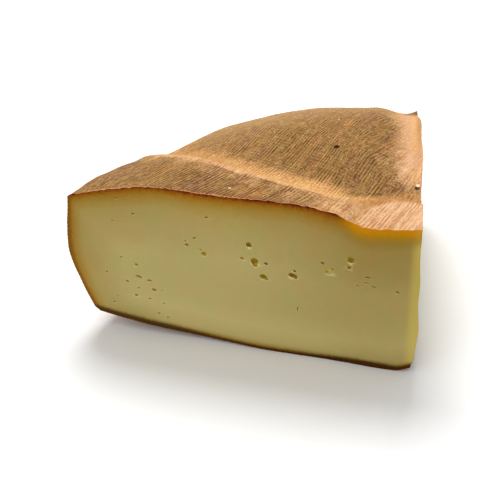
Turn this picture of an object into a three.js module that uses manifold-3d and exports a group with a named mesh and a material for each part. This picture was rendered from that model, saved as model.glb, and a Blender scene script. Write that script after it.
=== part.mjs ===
// A quarter cut from a smoked, pressed cheese wheel, lying on its flat base.
// Two cut faces meet in one upright edge, the point of the quarter. The front
// cut looks along -Y and runs left from the point, the side cut runs back
// from it, and the rim of the wheel closes the shape between their far ends.
// The top carries two broad grooves that the slats of the smoking rack left.

import * as THREE from "three";
import { ParametricGeometry } from "three/addons/geometries/ParametricGeometry.js";
import { mergeGeometries, mergeVertices } from "three/addons/utils/BufferGeometryUtils.js";
import Module from "manifold-3d";

// Driving dimensions, in millimetres and degrees.
// Plan places are measured from the point of the quarter, before it is centred.

const WHEEL_RADIUS = 160;
const WHEEL_HEIGHT = 67.2;
const WHEEL_CENTRE = { x: 16.8, y: -22.9 };
const QUARTER_ANGLE = 82;

// The top falls towards the rim over the shoulder, a little unevenly:
// the last list is the extra fall at even steps from front cut to side cut.
const SHOULDER = {
  width: 38.6,
  drop: 9.2,
  power: 1.6,
  extraDrop: [-0.1, 0.8, 0, -1.3, 1.7],
  extraSpread: 0.12,
};

// The long groove crosses the quarter at a slant, steep in front, easy behind,
// and bends back towards the side cut.
const LONG_GROOVE = {
  through: { x: -60, y: 34.3 },
  turn: 19.5,
  depth: 7.9,
  frontWidth: 15.9,
  frontWidthAtRim: 12.5,
  backWidth: 35.9,
  rimShallowing: 0.58,
  rimZone: 35,
  bend: { from: -42, length: 40, shift: 16 },
};

// The cross groove runs straight back beside the point, steeper at the front
// cut, and bends away from the side cut near the rim.
const CROSS_GROOVE = {
  x: -18.9,
  depth: 5.3,
  leftWidthFront: 13,
  leftWidthBack: 17,
  widening: 55,
  rightWidth: 43,
  rightRise: 0.74,
  bend: { from: 70, length: 55, shift: -3 },
};

// The corner between rim and side cut stands up in a small horn.
const HORN = { height: 3.2, spread: 5.5 };

// The rim wall is widest above its middle and draws in towards the foot.
const RIM = {
  bellyLevel: 0.6,
  footInset: 9.3,
  footPower: 1.75,
  shoulderInset: 1.4,
  footRound: 3,
  footRoundInset: 1.6,
};

// The base is flat in the middle and curls up at the rim, sooner at the front cut.
const BASE = {
  rimLift: 6.6,
  flatRadius: 123,
  flatRadiusFront: 55,
  liftEndRadius: 150,
  liftPower: 2.1,
  frontZone: 45,
  pointLift: 2.4,
  pointSpread: 4,
};

// Slow waves that a hand-drawn knife left in the cuts, the low bulge of the
// edge at the point, and dents in the top.
const FRONT_WAVE = { height: 0.3, length: 47, reach: 16, shift: 0 };
const SIDE_WAVE = { height: 0.3, length: 47, reach: 16, shift: 1 };
const POINT_WAVE = { height: 0.25, length: 21, reach: 9, shift: 2 };
const POINT_BULGE = { out: 1.5, level: 19, spread: 15, reach: 30 };
const TOP_DENTS = { depth: 0.3, lengthX: 31, lengthY: 37 };

// Gas holes that the front cut opened: place from the point, width and height.
const FRONT_HOLES = [
  { x: -63.1, z: 41.3, width: 2.4, height: 3.1 },
  { x: -59.2, z: 34.7, width: 3.3, height: 2.7 },
  { x: -47.6, z: 37.4, width: 3.6, height: 2.7 },
  { x: -33.3, z: 41.5, width: 3.1, height: 3.0 },
  { x: -25.6, z: 47.2, width: 2.3, height: 2.1 },
  { x: -65.2, z: 48.2, width: 2.0, height: 2.2 },
  { x: -83.5, z: 41.4, width: 2.1, height: 2.2 },
  { x: -90.3, z: 44.6, width: 1.2, height: 2.3 },
  { x: -112.7, z: 31.9, width: 1.8, height: 1.5 },
];

// The side cut has gas holes of the same kind, scattered over its middle.
const SIDE_HOLES = { count: 9, nearest: 18, farthest: 112, lowest: 14, highest: 50 };
const HOLE_SIZE = { least: 1.6, most: 3.5, depth: 0.9, setBack: 0.22 };
const HOLE_FLATNESS = { least: 0.75, most: 1.1 };
const HOLE_SIDES = 10;
const HOLE_RINGS = 7;

// Steps of the surface grid: round the quarter, out from the point, and up.
const GRID = { round: 35, out: 32, up: 13 };

const CHEESE_COLOUR = 0xa89560;
const CHEESE_ROUGHNESS = 0.55;
const WELD = 1e-3;

// Start, factor and modulus of the repeatable stream that scatters the side holes.
const SCATTER = { start: 71, factor: 16807, modulus: 2147483647 };

// Plain helpers.

const radians = THREE.MathUtils.degToRad;
const clamp01 = (value) => THREE.MathUtils.clamp(value, 0, 1);
const smooth = (value) => THREE.MathUtils.smoothstep(value, 0, 1);
const bell = (distance, spread) => Math.exp(-((distance / spread) ** 2));

// Distance of a plan point from the wheel's centre.
function wheelRadiusAt(x, y) {
  return Math.hypot(x - WHEEL_CENTRE.x, y - WHEEL_CENTRE.y);
}

// Distance from the point of the quarter, along a plan direction, to a circle
// of the given radius about the wheel's centre.
function reachToCircle(direction, radius) {
  const along = direction.x * WHEEL_CENTRE.x + direction.y * WHEEL_CENTRE.y;
  const offset = WHEEL_CENTRE.x ** 2 + WHEEL_CENTRE.y ** 2 - radius ** 2;
  return along + Math.sqrt(along ** 2 - offset);
}

// Plan direction at an angle turned from the front cut towards the side cut.
function planDirection(angle) {
  return { x: -Math.cos(radians(angle)), y: Math.sin(radians(angle)) };
}

const SIDE_DIRECTION = planDirection(QUARTER_ANGLE);
const HORN_REACH = reachToCircle(SIDE_DIRECTION, WHEEL_RADIUS);
const HORN_PLACE = {
  x: SIDE_DIRECTION.x * HORN_REACH,
  y: SIDE_DIRECTION.y * HORN_REACH,
};

// Sideways shift of a groove that bends away from its straight line.
function bendShift(place, bend) {
  return bend.shift * smooth((place - bend.from) / bend.length);
}

// Depth of the slanted long groove at a plan point.
function longGrooveDepth(x, y) {
  const turn = radians(LONG_GROOVE.turn);
  const across =
    (x - LONG_GROOVE.through.x) * Math.sin(turn) +
    (y - LONG_GROOVE.through.y - bendShift(x, LONG_GROOVE.bend)) * Math.cos(turn);
  const inRimZone = wheelRadiusAt(x, y) - (WHEEL_RADIUS - LONG_GROOVE.rimZone);
  const nearRim = smooth(inRimZone / LONG_GROOVE.rimZone);
  const frontWidth = THREE.MathUtils.lerp(
    LONG_GROOVE.frontWidth,
    LONG_GROOVE.frontWidthAtRim,
    nearRim,
  );
  const width = across < 0 ? frontWidth : LONG_GROOVE.backWidth;
  const depth = LONG_GROOVE.depth * (1 - LONG_GROOVE.rimShallowing * nearRim);
  return depth * (1 - smooth(Math.abs(across) / width));
}

// Depth of the cross groove beside the point.
function crossGrooveDepth(x, y) {
  const across = x - CROSS_GROOVE.x - bendShift(y, CROSS_GROOVE.bend);
  if (across > 0) {
    const rise = CROSS_GROOVE.rightRise * smooth(across / CROSS_GROOVE.rightWidth);
    return CROSS_GROOVE.depth * (1 - rise);
  }
  const leftWidth = THREE.MathUtils.lerp(
    CROSS_GROOVE.leftWidthFront,
    CROSS_GROOVE.leftWidthBack,
    smooth(y / CROSS_GROOVE.widening),
  );
  return CROSS_GROOVE.depth * (1 - smooth(-across / leftWidth));
}

// Fall of the shoulder at a plan point.
function shoulderFall(x, y) {
  const inShoulder = wheelRadiusAt(x, y) - (WHEEL_RADIUS - SHOULDER.width);
  const depth = Math.max(inShoulder / SHOULDER.width, 0);
  const share = THREE.MathUtils.radToDeg(Math.atan2(y, -x)) / QUARTER_ANGLE;
  const steps = SHOULDER.extraDrop.length;
  const extra = SHOULDER.extraDrop.reduce(
    (sum, drop, i) => sum + drop * bell(share - (i + 0.5) / steps, SHOULDER.extraSpread),
    0,
  );
  return (SHOULDER.drop + extra) * depth ** SHOULDER.power;
}

// Height of the rind on top of the cheese.
function topHeight(x, y) {
  const dents =
    TOP_DENTS.depth *
    Math.sin((2 * Math.PI * x) / TOP_DENTS.lengthX) *
    Math.sin((2 * Math.PI * y) / TOP_DENTS.lengthY);
  const horn = HORN.height * bell(Math.hypot(x - HORN_PLACE.x, y - HORN_PLACE.y), HORN.spread);
  const groove = Math.max(longGrooveDepth(x, y), crossGrooveDepth(x, y));
  return WHEEL_HEIGHT - shoulderFall(x, y) - groove + dents + horn;
}

// Height of the base, which curls up at the rim and at the point.
function baseHeight(x, y) {
  const radius = wheelRadiusAt(x, y);
  const liftFrom = (flat) =>
    clamp01((radius - flat) / (BASE.liftEndRadius - flat)) ** BASE.liftPower;
  const atFront = 1 - smooth(y / BASE.frontZone);
  const lift = THREE.MathUtils.lerp(
    liftFrom(BASE.flatRadius),
    liftFrom(BASE.flatRadiusFront),
    atFront,
  );
  return BASE.rimLift * lift + BASE.pointLift * bell(Math.hypot(x, y), BASE.pointSpread);
}

// Radius of the rim wall at a level from 0, the base, to 1, the top.
function rimRadius(level) {
  const belowBelly = clamp01((RIM.bellyLevel - level) / RIM.bellyLevel);
  const aboveBelly = clamp01((level - RIM.bellyLevel) / (1 - RIM.bellyLevel));
  const inFootRound = clamp01(1 - (level * WHEEL_HEIGHT) / RIM.footRound);
  return (
    WHEEL_RADIUS -
    RIM.footInset * belowBelly ** RIM.footPower -
    RIM.shoulderInset * aboveBelly ** 2 -
    RIM.footRoundInset * inFootRound ** 2
  );
}

// Moves a point near a cut by the knife's slow waves, and near the upright
// edge by its bulge.
function waveCuts(point) {
  const wave = (place, { height, length, reach, shift }, distance) =>
    height * Math.sin((2 * Math.PI * place) / length + shift) * bell(distance, reach);
  const fromPoint = Math.hypot(point.x, point.y);
  const behindFront = Math.abs(point.y);
  const beyondSide = point.x * SIDE_DIRECTION.y - point.y * SIDE_DIRECTION.x;
  const frontWave = wave(point.x + point.z, FRONT_WAVE, behindFront);
  const sideWave = wave(point.y - point.z, SIDE_WAVE, beyondSide);
  const pointWave = wave(point.z, POINT_WAVE, fromPoint);
  const bulge =
    POINT_BULGE.out *
    bell(point.z - POINT_BULGE.level, POINT_BULGE.spread) *
    bell(fromPoint, POINT_BULGE.reach);
  point.x += sideWave + pointWave + bulge;
  point.y += frontWave;
}

// The cheese as a bent block: share of the angle from front cut to side cut,
// share of the way from the point to the rim, and level from base to top.
function cheesePoint(angleShare, outShare, level, target) {
  const direction = planDirection(angleShare * QUARTER_ANGLE);
  const reach = outShare * reachToCircle(direction, rimRadius(level));
  const x = direction.x * reach;
  const y = direction.y * reach;
  target.set(x, y, THREE.MathUtils.lerp(baseHeight(x, y), topHeight(x, y), level));
  waveCuts(target);
}

// The five faces of the block; the sixth shrinks to the upright edge at the point.
function cheeseFaces() {
  const { round, out, up } = GRID;
  return [
    new ParametricGeometry((u, v, t) => cheesePoint(u, v, 1, t), round, out),
    new ParametricGeometry((u, v, t) => cheesePoint(v, u, 0, t), out, round),
    new ParametricGeometry((u, v, t) => cheesePoint(0, v, u, t), up, out),
    new ParametricGeometry((u, v, t) => cheesePoint(1, u, v, t), out, up),
    new ParametricGeometry((u, v, t) => cheesePoint(v, 1, u, t), up, round),
  ];
}

// Welds the vertices of a geometry and drops the triangles that welding flattened.
function weld(geometry) {
  geometry.deleteAttribute("normal");
  geometry.deleteAttribute("uv");
  const welded = mergeVertices(geometry, WELD);
  const corners = Array.from(welded.index.array);
  const kept = [];
  for (let i = 0; i < corners.length; i += 3) {
    const [a, b, c] = corners.slice(i, i + 3);
    if (a !== b && b !== c && c !== a) {
      kept.push(a, b, c);
    }
  }
  welded.setIndex(kept);
  return welded;
}

// A gas hole: a rounded pocket whose middle lies a little behind the cut.
function holeGeometry(width, height, place, turn) {
  const pocket = new THREE.SphereGeometry(0.5, HOLE_SIDES, HOLE_RINGS);
  pocket.scale(width, width * HOLE_SIZE.depth * 2, height);
  pocket.translate(0, width * HOLE_SIZE.setBack, 0);
  pocket.rotateZ(turn);
  pocket.translate(place.x, place.y, place.z);
  return pocket;
}

// A repeatable stream of numbers from 0 to 1.
function scatterNumbers() {
  let state = SCATTER.start;
  return () => {
    state = (state * SCATTER.factor) % SCATTER.modulus;
    return state / SCATTER.modulus;
  };
}

function frontHoles() {
  return FRONT_HOLES.map(({ x, z, width, height }) =>
    holeGeometry(width, height, new THREE.Vector3(x, 0, z), 0),
  );
}

// Each hole of the side cut takes the next stretch of its length, at a random height.
function sideHoles() {
  const random = scatterNumbers();
  const stretch = (SIDE_HOLES.farthest - SIDE_HOLES.nearest) / SIDE_HOLES.count;
  return Array.from({ length: SIDE_HOLES.count }, (_, i) => {
    const reach = SIDE_HOLES.nearest + (i + random()) * stretch;
    const z = THREE.MathUtils.lerp(SIDE_HOLES.lowest, SIDE_HOLES.highest, random());
    const width = THREE.MathUtils.lerp(HOLE_SIZE.least, HOLE_SIZE.most, random() ** 2);
    const flatness = THREE.MathUtils.lerp(HOLE_FLATNESS.least, HOLE_FLATNESS.most, random());
    const place = new THREE.Vector3(SIDE_DIRECTION.x * reach, SIDE_DIRECTION.y * reach, z);
    return holeGeometry(width, width * flatness, place, radians(180 - QUARTER_ANGLE));
  });
}

// Boolean cuts on welded, closed meshes.

const wasm = await Module();
wasm.setup();

function toSolid(geometry) {
  const welded = weld(geometry);
  return new wasm.Manifold(
    new wasm.Mesh({
      numProp: 3,
      vertProperties: welded.attributes.position.array,
      triVerts: new Uint32Array(welded.index.array),
    }),
  );
}

function toGeometry(solid) {
  const mesh = solid.getMesh();
  return new THREE.BufferGeometry()
    .setAttribute("position", new THREE.BufferAttribute(mesh.vertProperties, 3))
    .setIndex(new THREE.BufferAttribute(mesh.triVerts, 1));
}

// Stands the quarter on Z = 0 with the middle of its box over the origin.
function centreOnBase(geometry) {
  geometry.computeBoundingBox();
  const box = geometry.boundingBox;
  const middle = box.getCenter(new THREE.Vector3());
  geometry.translate(-middle.x, -middle.y, -box.min.z);
  return geometry;
}

function cheeseQuarter() {
  const block = toSolid(mergeGeometries(cheeseFaces()));
  const holes = [...frontHoles(), ...sideHoles()].map(toSolid);
  const cut = holes.reduce((solid, hole) => solid.subtract(hole), block);
  const geometry = centreOnBase(toGeometry(cut));
  geometry.computeVertexNormals();
  const material = new THREE.MeshStandardMaterial({
    color: CHEESE_COLOUR,
    roughness: CHEESE_ROUGHNESS,
    metalness: 0,
  });
  const mesh = new THREE.Mesh(geometry, material);
  mesh.name = "cheese_quarter";
  return mesh;
}

const group = new THREE.Group();
group.add(cheeseQuarter());

export default group;
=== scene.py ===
import math
import random

import bpy
import numpy as np
from mathutils import Matrix, Vector, noise


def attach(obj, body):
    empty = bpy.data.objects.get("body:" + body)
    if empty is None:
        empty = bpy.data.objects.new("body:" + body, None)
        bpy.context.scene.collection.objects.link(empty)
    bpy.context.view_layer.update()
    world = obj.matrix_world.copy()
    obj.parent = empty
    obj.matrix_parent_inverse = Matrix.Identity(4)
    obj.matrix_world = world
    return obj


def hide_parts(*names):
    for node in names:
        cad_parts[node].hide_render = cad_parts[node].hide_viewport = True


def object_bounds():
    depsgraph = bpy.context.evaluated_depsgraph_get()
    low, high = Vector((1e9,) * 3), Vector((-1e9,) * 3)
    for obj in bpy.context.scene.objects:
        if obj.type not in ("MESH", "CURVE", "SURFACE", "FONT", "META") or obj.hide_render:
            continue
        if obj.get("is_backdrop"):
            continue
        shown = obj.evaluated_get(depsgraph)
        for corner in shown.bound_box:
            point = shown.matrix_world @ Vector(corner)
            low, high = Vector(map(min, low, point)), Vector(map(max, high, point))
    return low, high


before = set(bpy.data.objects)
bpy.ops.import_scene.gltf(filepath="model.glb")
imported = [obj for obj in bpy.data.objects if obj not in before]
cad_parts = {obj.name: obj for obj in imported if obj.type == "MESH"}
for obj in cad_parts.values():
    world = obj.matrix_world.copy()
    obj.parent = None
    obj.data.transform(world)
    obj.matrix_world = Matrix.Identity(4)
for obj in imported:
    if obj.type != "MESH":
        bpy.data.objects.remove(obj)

CAD_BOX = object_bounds()
NODE = "cheese_quarter"

# Sizes of the cheese, in millimetres and degrees.
# Plan places are measured from the point of the quarter: the front cut runs
# along -X, the side cut back from the point, and +Z is up.

MM = 0.001
WHEEL_RADIUS = 160.0
WHEEL_HEIGHT = 67.2
WHEEL_CENTRE = (16.8, -22.9)
QUARTER_ANGLE = 82.0
PLAN_MIDDLE = (-70.076, 66.404)

SHOULDER_WIDTH = 38.6
SHOULDER_DROP = 9.2
SHOULDER_POWER = 1.6
SHOULDER_EXTRA_DROPS = (-0.1, 0.8, 0.0, -1.3, 1.7)
SHOULDER_EXTRA_SPREAD = 0.12
CORNER_ROUND_WIDTH = 2.2
CORNER_ROUND_DROP = 0.6

LONG_GROOVE_THROUGH = (-60.0, 34.3)
LONG_GROOVE_TURN = 19.5
LONG_GROOVE_DEPTH = 7.9
LONG_GROOVE_FRONT_WIDTHS = (15.9, 12.5)
LONG_GROOVE_BACK_WIDTH = 35.9
LONG_GROOVE_RIM_SHALLOWING = 0.58
LONG_GROOVE_RIM_ZONE = 35.0
LONG_GROOVE_BEND = (-42.0, 40.0, 16.0)

CROSS_GROOVE_X = -18.9
CROSS_GROOVE_DEPTH = 5.3
CROSS_GROOVE_LEFT_WIDTHS = (13.0, 17.0)
CROSS_GROOVE_WIDENING = 55.0
CROSS_GROOVE_RIGHT_WIDTH = 43.0
CROSS_GROOVE_RIGHT_RISE = 0.74
CROSS_GROOVE_BEND = (70.0, 55.0, -3.0)

CREST_LIP_HEIGHT = 0.5
CREST_LIP_SPREAD = 2.6

HORN_HEIGHT = 3.2
HORN_SPREAD = 5.5
HORN_SWELL = dict(height=0.9, place=(-24.4, 129.0), spread=6.8)
FRONT_EDGE_RISE = dict(height=0.55, start=-34.0, length=12.0, reach=7.0)
FRONT_EDGE_DIP = dict(depth=1.6, x=-28.5, spread=6.5, reach=12.0)
RIM_EDGE_RISE = dict(height=1.0, share=0.08, spread=0.05)
RIM_EDGE_DIP = dict(depth=0.7, share=0.213, spread=0.03)
RIM_EDGE_ZONE = dict(radius=135.0, width=18.0)

BELLY_LEVEL = 0.6
FOOT_INSET = 9.3
FOOT_POWER = 1.75
SHOULDER_INSET = 1.4
FOOT_ROUND = 3.0
FOOT_ROUND_INSET = 1.6

BASE_RIM_LIFT = 6.6
BASE_FLAT_RADIUS = 123.0
BASE_FLAT_RADIUS_FRONT = 55.0
BASE_LIFT_END = 150.0
BASE_LIFT_POWER = 2.1
BASE_FRONT_ZONE = 45.0
POINT_LIFT = 2.4
POINT_LIFT_SPREAD = 4.0

FRONT_WAVE = dict(height=0.3, length=47.0, reach=16.0, shift=0.0)
SIDE_WAVE = dict(height=0.3, length=47.0, reach=16.0, shift=1.0)
POINT_WAVE = dict(height=0.25, length=21.0, reach=9.0, shift=2.0)
POINT_BULGE = dict(out=1.5, level=19.0, spread=15.0, reach=30.0)

# How far the side cut draws in at the foot of the point and towards the horn.
HEEL_INSET = dict(depth=1.3, height=3.5, reach=8.0)
HORN_INSET = dict(depth=1.6, start=92.0, length=36.0)

# The ribs that the pressing cloth left in the rind.
RIB_PITCH = 1.42
RIB_HEIGHT = 0.19
RIB_TURN = 69.0
RIB_BEND = dict(slope=0.12, start=-62.0, length=30.0, reach=38.0, behind=22.0)
RIB_SPLAY = dict(rate=0.003, start=-70.0, length=50.0, behind=70.0)
RIB_SWAY = dict(height=0.8, along=21.0, across=31.0)
RIB_WANDER = dict(height=0.55, size=15.0)
RIB_KINKS = dict(height=0.35, across=2.2, along=12.0)
RIB_BUNDLES = dict(size=4.2, share=1.5, stretch=0.45)
RIB_PATCHES = dict(size=11.0, share=0.9)
RIM_RIB_PITCH = 2.1
RIM_RIB_HEIGHT = 0.14

# The rack's pale prints, from the floors of the long and the cross groove.
LONG_PRINT_WIDTH = 16.0
LONG_PRINT_NARROWING = dict(width=2.4, start=-100.0, length=20.0)
LONG_PRINT_OVER_CREST = dict(least=0.8, more=2.4, start=-45.0, length=50.0)
CROSS_PRINT_FRONT_EDGE = dict(at_floor=-23.7, slant=0.68, corner=-18.1, corner_slant=1.6)
CROSS_PRINT_BACK_EDGE = dict(right=4.0, behind=8.0, slant=0.13)
# Painted shade in the long groove's valley, where the print gives way to the brown rind.
PRINT_VALLEY_SHADE = dict(behind=6.8, front_spread=7.0, back_spread=3.6, share=0.78, fading=0.2)

# The camera of the photo: its place from the point of the quarter, in
# millimetres, its angles in degrees, and its lens for a sensor of 36 mm.
CAMERA_PLACE = (32.4, -316.2, 238.8)
CAMERA_TURN = -17.07
CAMERA_DIP = 30.25
CAMERA_ROLL = -1.16
CAMERA_LENS = 72.0
CAMERA_SENSOR = 36.0

# The studio's light: places and sizes in metres, power in watts.
WORLD_STRENGTH = 0.62
KEY_SOFTBOX = dict(place=(-0.35, 0.75, 1.35), size=0.9, power=22.0)
FILL_SOFTBOX = dict(place=(-0.7, -1.1, 0.7), size=0.9, power=2.0)
SOFTBOX_TARGET = Vector((0.0, 0.0, 0.03))
FLOOR_REACH = 4000.0

# Gas holes that the front cut opened: place along the cut and up, width,
# height, depth as a share of the width, and lean in degrees.
FRONT_HOLES = (
    (-63.0, 41.0, 3.4, 3.5, 0.6, 5),
    (-62.7, 39.4, 1.9, 1.6, 0.6, -20),
    (-59.6, 34.6, 3.1, 2.4, 0.6, 10),
    (-58.3, 34.0, 1.7, 1.3, 0.6, 30),
    (-47.7, 37.3, 3.9, 2.2, 0.5, 16),
    (-46.5, 36.5, 1.6, 1.5, 0.6, 25),
    (-47.0, 39.3, 1.5, 1.1, 0.7, 30),
    (-33.5, 41.1, 3.6, 2.9, 0.14, 0),
    (-32.5, 42.1, 1.1, 0.9, 0.9, 20),
    (-34.6, 40.5, 1.2, 0.9, 0.7, -20),
    (-25.5, 47.2, 3.0, 2.7, 0.6, 0),
    (-24.7, 46.9, 1.5, 1.3, 0.6, 0),
    (-65.1, 48.2, 2.6, 2.4, 0.65, 10),
    (-83.6, 41.3, 2.3, 1.9, 0.55, 20),
    (-68.0, 41.7, 1.7, 1.2, 0.6, 20),
    (-58.3, 40.9, 1.9, 1.4, 0.7, 25),
    (-36.3, 44.2, 1.8, 1.1, 0.8, 15),
    (-26.1, 43.8, 1.6, 1.4, 0.8, 10),
    (-81.9, 57.7, 1.4, 0.9, 0.7, 0),
    (-87.3, 47.8, 1.4, 0.9, 0.7, 0),
    (-90.5, 44.4, 1.9, 1.1, 0.6, 15),
    (-91.0, 46.0, 1.1, 0.8, 0.6, 0),
    (-84.9, 43.0, 1.0, 0.7, 0.6, 20),
    (-112.7, 31.8, 1.6, 1.5, 0.7, 10),
    (-112.2, 26.3, 2.9, 1.1, 0.45, 12),
    (-107.6, 25.1, 2.1, 0.9, 0.55, 0),
    (-105.7, 20.9, 2.3, 1.3, 0.55, 8),
    (-118.4, 61.5, 1.8, 0.5, 0.5, 0),
    (-112.2, 55.4, 1.3, 0.9, 0.55, 0),
    (-121.2, 51.2, 1.8, 0.5, 0.2, 15),
    (-119.1, 34.4, 1.1, 0.8, 0.7, 0),
    (-125.8, 26.8, 0.8, 0.7, 0.8, 0),
    (-117.2, 23.4, 1.7, 0.8, 0.5, 20),
    (-113.6, 17.3, 1.6, 0.8, 0.6, 0),
    (-107.9, 16.4, 1.5, 0.6, 0.5, 0),
    (-112.3, 20.9, 1.3, 0.5, 0.5, 10),
    (-102.3, 21.3, 1.2, 0.5, 0.5, -10),
    (-102.0, 15.0, 1.2, 0.5, 0.5, 0),
    (-121.9, 15.9, 0.9, 0.5, 0.6, 0),
    (-123.7, 12.5, 1.1, 0.7, 0.7, 0),
    (-104.3, 9.9, 1.0, 0.9, 0.8, 0),
    (-100.5, 8.5, 1.1, 0.7, 0.7, 0),
    (-18.9, 40.7, 2.5, 0.6, 0.45, -3),
    (-19.4, 38.2, 1.9, 0.6, 0.45, 8),
    (-16.4, 36.9, 1.8, 0.5, 0.5, 5),
    (-22.6, 36.3, 1.3, 0.6, 0.6, 0),
    (-7.4, 36.2, 1.8, 0.8, 0.6, 8),
    (-45.8, 22.0, 0.7, 1.9, 0.8, 4),
)
SIDE_HOLES = dict(count=22, nearest=14.0, stretch=104.0, low=13.0, high=51.0, seed=71)
SMALL_HOLE = 2.0

# Pits in the top: plan place, width and depth.
PITS = (
    (-43.9, 57.6, 2.4, 2.6),
    (-7.4, 39.2, 1.9, 1.3),
)

# White flecks on the rind, and at (-7.4, 41.0) a painted highlight in the pit beside it: plan
# place and reach.
FLECKS_AND_GLINT = (
    (-74.8, 8.1, 0.7),
    (-68.5, 5.4, 0.35),
    (-7.4, 41.0, 1.0),
    (-48.6, 84.1, 0.5),
    (-58.5, 9.7, 0.3),
    (-22.0, 55.0, 0.45),
)

# How fast the amber fades behind the rim and above the base, against below the top.
AMBER_RIM_PACE = 1.3
AMBER_BASE_PACE = 2.6
AMBER_BLEND = 0.8


# Shape of the cheese.

def smooth(share):
    share = np.clip(share, 0.0, 1.0)
    return share * share * (3.0 - 2.0 * share)


def bell(distance, spread):
    return np.exp(-((distance / spread) ** 2))


def blend(low, high, share):
    return low + (high - low) * share


def plan_direction(angle):
    """Plan direction at an angle turned from the front cut to the side cut."""
    turn = np.radians(angle)
    return -np.cos(turn), np.sin(turn)


def reach_to_circle(direction, radius):
    """Distance from the point to a circle about the wheel's centre."""
    along = direction[0] * WHEEL_CENTRE[0] + direction[1] * WHEEL_CENTRE[1]
    offset = WHEEL_CENTRE[0] ** 2 + WHEEL_CENTRE[1] ** 2 - radius ** 2
    return along + np.sqrt(along ** 2 - offset)


SIDE_DIRECTION = plan_direction(QUARTER_ANGLE)
HORN_REACH = reach_to_circle(SIDE_DIRECTION, WHEEL_RADIUS)
HORN_PLACE = (SIDE_DIRECTION[0] * HORN_REACH, SIDE_DIRECTION[1] * HORN_REACH)


def wheel_radius_at(x, y):
    return np.hypot(x - WHEEL_CENTRE[0], y - WHEEL_CENTRE[1])


def bend_shift(place, bend):
    start, length, shift = bend
    return shift * smooth((place - start) / length)


def across_long_groove(x, y):
    """Distance of a plan point behind the floor of the long groove."""
    turn = math.radians(LONG_GROOVE_TURN)
    aside = (x - LONG_GROOVE_THROUGH[0]) * math.sin(turn)
    behind = y - LONG_GROOVE_THROUGH[1] - bend_shift(x, LONG_GROOVE_BEND)
    return aside + behind * math.cos(turn)


def across_cross_groove(x, y):
    """Distance of a plan point to the right of the floor of the cross groove."""
    return x - CROSS_GROOVE_X - bend_shift(y, CROSS_GROOVE_BEND)


def near_rim(x, y):
    """Goes from 0 to 1 over the zone in which the long groove runs out at the rim."""
    in_rim_zone = wheel_radius_at(x, y) - (WHEEL_RADIUS - LONG_GROOVE_RIM_ZONE)
    return smooth(in_rim_zone / LONG_GROOVE_RIM_ZONE)


def long_groove_front_width(x, y):
    return blend(*LONG_GROOVE_FRONT_WIDTHS, near_rim(x, y))


def long_groove_depth(x, y):
    across = across_long_groove(x, y)
    width = np.where(across < 0, long_groove_front_width(x, y), LONG_GROOVE_BACK_WIDTH)
    depth = LONG_GROOVE_DEPTH * (1.0 - LONG_GROOVE_RIM_SHALLOWING * near_rim(x, y))
    return depth * (1.0 - smooth(np.abs(across) / width))


def cross_groove_depth(x, y):
    across = across_cross_groove(x, y)
    rise = CROSS_GROOVE_RIGHT_RISE * smooth(across / CROSS_GROOVE_RIGHT_WIDTH)
    left_width = blend(*CROSS_GROOVE_LEFT_WIDTHS, smooth(y / CROSS_GROOVE_WIDENING))
    fall = smooth(-across / left_width)
    return CROSS_GROOVE_DEPTH * np.where(across > 0, 1.0 - rise, 1.0 - fall)


def shoulder_fall(x, y):
    in_shoulder = wheel_radius_at(x, y) - (WHEEL_RADIUS - SHOULDER_WIDTH)
    depth = np.maximum(in_shoulder / SHOULDER_WIDTH, 0.0)
    share = np.degrees(np.arctan2(y, -x)) / QUARTER_ANGLE
    drop = SHOULDER_DROP
    for i, extra in enumerate(SHOULDER_EXTRA_DROPS):
        middle = (i + 0.5) / len(SHOULDER_EXTRA_DROPS)
        drop = drop + extra * bell(share - middle, SHOULDER_EXTRA_SPREAD)
    return drop * depth ** SHOULDER_POWER


def top_height(x, y):
    """Height of the top without its ribs and fine dents."""
    horn = HORN_HEIGHT * bell(np.hypot(x - HORN_PLACE[0], y - HORN_PLACE[1]), HORN_SPREAD)
    groove = np.maximum(long_groove_depth(x, y), cross_groove_depth(x, y))
    return WHEEL_HEIGHT - shoulder_fall(x, y) - groove + horn


def base_height(x, y):
    def lift_from(flat):
        share = (wheel_radius_at(x, y) - flat) / (BASE_LIFT_END - flat)
        return np.clip(share, 0.0, 1.0) ** BASE_LIFT_POWER

    behind_front = smooth(y / BASE_FRONT_ZONE)
    lift = blend(lift_from(BASE_FLAT_RADIUS_FRONT), lift_from(BASE_FLAT_RADIUS), behind_front)
    return BASE_RIM_LIFT * lift + POINT_LIFT * bell(np.hypot(x, y), POINT_LIFT_SPREAD)


def rim_radius(level):
    """Radius of the rim wall at a level from 0, the base, to 1, the top."""
    below_belly = np.clip((BELLY_LEVEL - level) / BELLY_LEVEL, 0.0, 1.0)
    above_belly = np.clip((level - BELLY_LEVEL) / (1.0 - BELLY_LEVEL), 0.0, 1.0)
    in_foot_round = np.clip(1.0 - level * WHEEL_HEIGHT / FOOT_ROUND, 0.0, 1.0)
    return (
        WHEEL_RADIUS
        - FOOT_INSET * below_belly ** FOOT_POWER
        - SHOULDER_INSET * above_belly ** 2
        - FOOT_ROUND_INSET * in_foot_round ** 2
    )


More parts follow.
